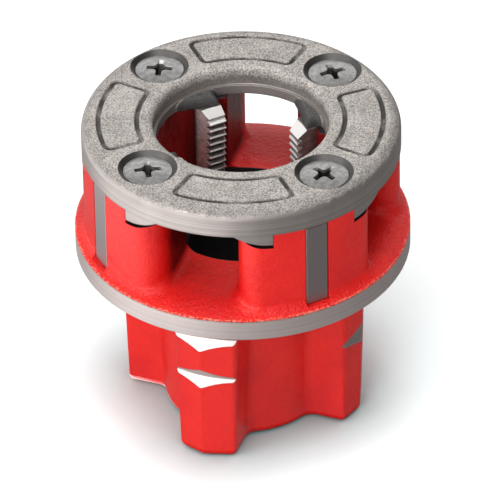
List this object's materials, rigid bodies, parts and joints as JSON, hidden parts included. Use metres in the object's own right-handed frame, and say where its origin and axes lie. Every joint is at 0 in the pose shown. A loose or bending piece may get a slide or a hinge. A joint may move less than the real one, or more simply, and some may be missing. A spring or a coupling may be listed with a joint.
{
  "type": "pipe threading die head",
  "caption": "Fixed hand threading die head for taper pipe thread: a flanged, lugged drive tube with toothed dies in slots under a screwed cover plate.",
  "frame": {"origin": "centre of the foot of the drive tube, where the pipe enters", "axes": "+Z along the pipe axis towards the cover plate; -Y towards the camera of the picture"},
  "size_m": [0.074, 0.074, 0.0739],
  "materials": {
    "red_paint": "gloss enamel over a sand casting, bare on turned faces",
    "cast_grey": "as cast on top, turned at the rim and bore",
    "die_steel": "ground and hardened",
    "screw_steel": "phosphated"
  },
  "bodies": {
    "root": {"body": "red_paint", "cover_plate": "cast_grey", "die_1": "die_steel", "die_2": "die_steel", "die_3": "die_steel", "die_4": "die_steel", "cover_screw_1": "screw_steel", "cover_screw_2": "screw_steel", "cover_screw_3": "screw_steel", "cover_screw_4": "screw_steel"}
  },
  "joints": []
}
